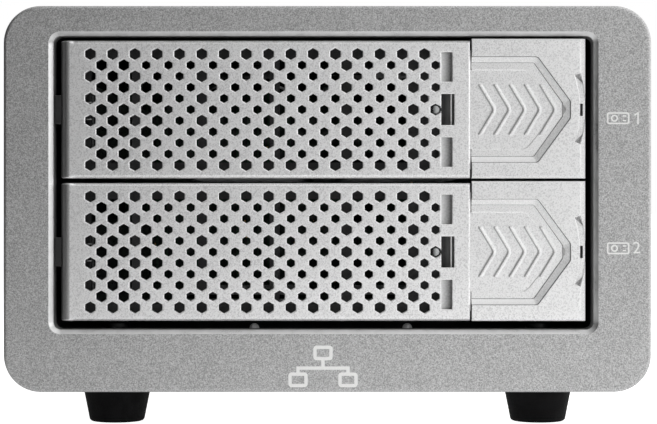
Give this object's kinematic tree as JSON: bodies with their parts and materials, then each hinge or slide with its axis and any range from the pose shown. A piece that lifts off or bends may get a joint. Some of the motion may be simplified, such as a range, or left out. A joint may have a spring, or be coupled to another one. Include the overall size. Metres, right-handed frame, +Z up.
{
  "type": "nas enclosure",
  "caption": "Desktop network drive enclosure with stacked pull-out drive trays, perforated hinged levers, sliding thumb latches, rear fan and round rubber feet.",
  "frame": {"origin": "on the plane the feet rest on, under the centre of the enclosure's bounding box", "axes": "+Z up, the front with the trays faces -Y, +X to the right seen from the front; depth runs along Y"},
  "size_m": [0.14, 0.208, 0.091],
  "materials": {
    "silver_anodised": "bead-blasted, clear anodised",
    "tray_steel": "zinc-plated sheet",
    "black_painted_steel": "fine matt powder coat",
    "screw_steel": "zinc-plated",
    "thumb_screw_nickel": "nickel-plated, knurled",
    "spring_steel": "bright drawn wire",
    "foot_rubber": "matt moulded",
    "rail_plastic": "low-friction, satin",
    "fan_plastic": "satin moulded",
    "wire_sleeving": "smooth sleeving",
    "board_laminate": "solder-mask green",
    "connector_plastic": "satin moulded",
    "port_shell": "tin-plated",
    "lamp_lens": "diffusing",
    "clear_acrylic": "polished, clear",
    "chip_plastic": "moulded",
    "heatsink_aluminium": "black anodised",
    "cell_steel": "stainless can",
    "control_plastic": "satin moulded"
  },
  "bodies": {
    "housing": {"front_bezel": "silver_anodised", "housing_sleeve": "silver_anodised", "rear_panel": "black_painted_steel", "drive_cage": "black_painted_steel", "guide_rails": "rail_plastic", "rubber_feet": "foot_rubber", "foot_screws": "screw_steel", "cage_standoffs": "screw_steel", "cage_screws": "screw_steel", "bezel_screws": "screw_steel", "backplane_screws": "screw_steel", "thumb_screws": "thumb_screw_nickel", "fan_frame": "fan_plastic", "fan_screws": "screw_steel", "fan_cable": "wire_sleeving", "backplane_board": "board_laminate", "sata_receptacles": "connector_plastic", "status_leds": "lamp_lens", "link_connector": "connector_plastic", "main_board": "board_laminate", "board_standoffs": "screw_steel", "board_screws": "screw_steel", "controller_chip": "chip_plastic", "heatsink": "heatsink_aluminium", "board_components": "chip_plastic", "clock_battery": "cell_steel", "ethernet_jack": "port_shell", "usb_port": "port_shell", "power_jack": "connector_plastic", "rocker_housing": "connector_plastic", "power_lead": "wire_sleeving", "switch_board": "board_laminate", "switch_lead": "wire_sleeving", "selector_body": "connector_plastic", "reset_switch": "control_plastic"},
    "fan": {"fan_rotor": "fan_plastic"},
    "rocker": {"power_rocker": "control_plastic"},
    "dial": {"mode_dial": "control_plastic"},
    "reset": {"reset_button": "control_plastic"},
    "tray_1": {"tray_frame_1": "tray_steel", "front_beam_1": "black_painted_steel", "tray_screws_1": "screw_steel", "hinge_pin_1": "screw_steel", "lever_spring_1": "spring_steel", "latch_spring_1": "spring_steel", "light_pipe_1": "clear_acrylic"},
    "lever_1": {"tray_lever_1": "silver_anodised"},
    "latch_1": {"latch_slider_1": "silver_anodised", "latch_screws_1": "screw_steel"},
    "tray_2": {"tray_frame_2": "tray_steel", "front_beam_2": "black_painted_steel", "tray_screws_2": "screw_steel", "hinge_pin_2": "screw_steel", "lever_spring_2": "spring_steel", "latch_spring_2": "spring_steel", "light_pipe_2": "clear_acrylic"},
    "lever_2": {"tray_lever_2": "silver_anodised"},
    "latch_2": {"latch_slider_2": "silver_anodised", "latch_screws_2": "screw_steel"}
  },
  "joints": [
    {"name": "tray_1_slide", "type": "slide", "parent": "housing", "child": "tray_1", "axis": [0, -1, 0], "range_m": [0, 0.17]},
    {"name": "lever_1_swing", "type": "hinge", "parent": "tray_1", "child": "lever_1", "pos_m": [-0.05575, -0.1017, 0.0686], "axis": [0, 0, -1], "range_deg": [0, 75], "deforming": ["lever_spring_1"]},
    {"name": "latch_1_slide", "type": "slide", "parent": "tray_1", "child": "latch_1", "axis": [1, 0, 0], "range_m": [0, 0.0012], "deforming": ["latch_spring_1"]},
    {"name": "tray_2_slide", "type": "slide", "parent": "housing", "child": "tray_2", "axis": [0, -1, 0], "range_m": [0, 0.17]},
    {"name": "lever_2_swing", "type": "hinge", "parent": "tray_2", "child": "lever_2", "pos_m": [-0.05575, -0.1017, 0.0378], "axis": [0, 0, -1], "range_deg": [0, 75], "deforming": ["lever_spring_2"]},
    {"name": "latch_2_slide", "type": "slide", "parent": "tray_2", "child": "latch_2", "axis": [1, 0, 0], "range_m": [0, 0.0012], "deforming": ["latch_spring_2"]},
    {"name": "fan_spin", "type": "hinge", "parent": "housing", "child": "fan", "pos_m": [-0.025, 0.085, 0.057], "axis": [0, 1, 0], "continuous": true},
    {"name": "power_rocker_tilt", "type": "hinge", "parent": "housing", "child": "rocker", "pos_m": [0.052, 0.0985, 0.046], "axis": [-1, 0, 0], "range_deg": [0, 16]},
    {"name": "mode_dial_turn", "type": "hinge", "parent": "housing", "child": "dial", "pos_m": [0.021, 0.0985, 0.041], "axis": [0, 1, 0], "range_deg": [0, 270]},
    {"name": "reset_press", "type": "slide", "parent": "housing", "child": "reset", "axis": [0, -1, 0], "range_m": [0, 0.0008]}
  ]
}
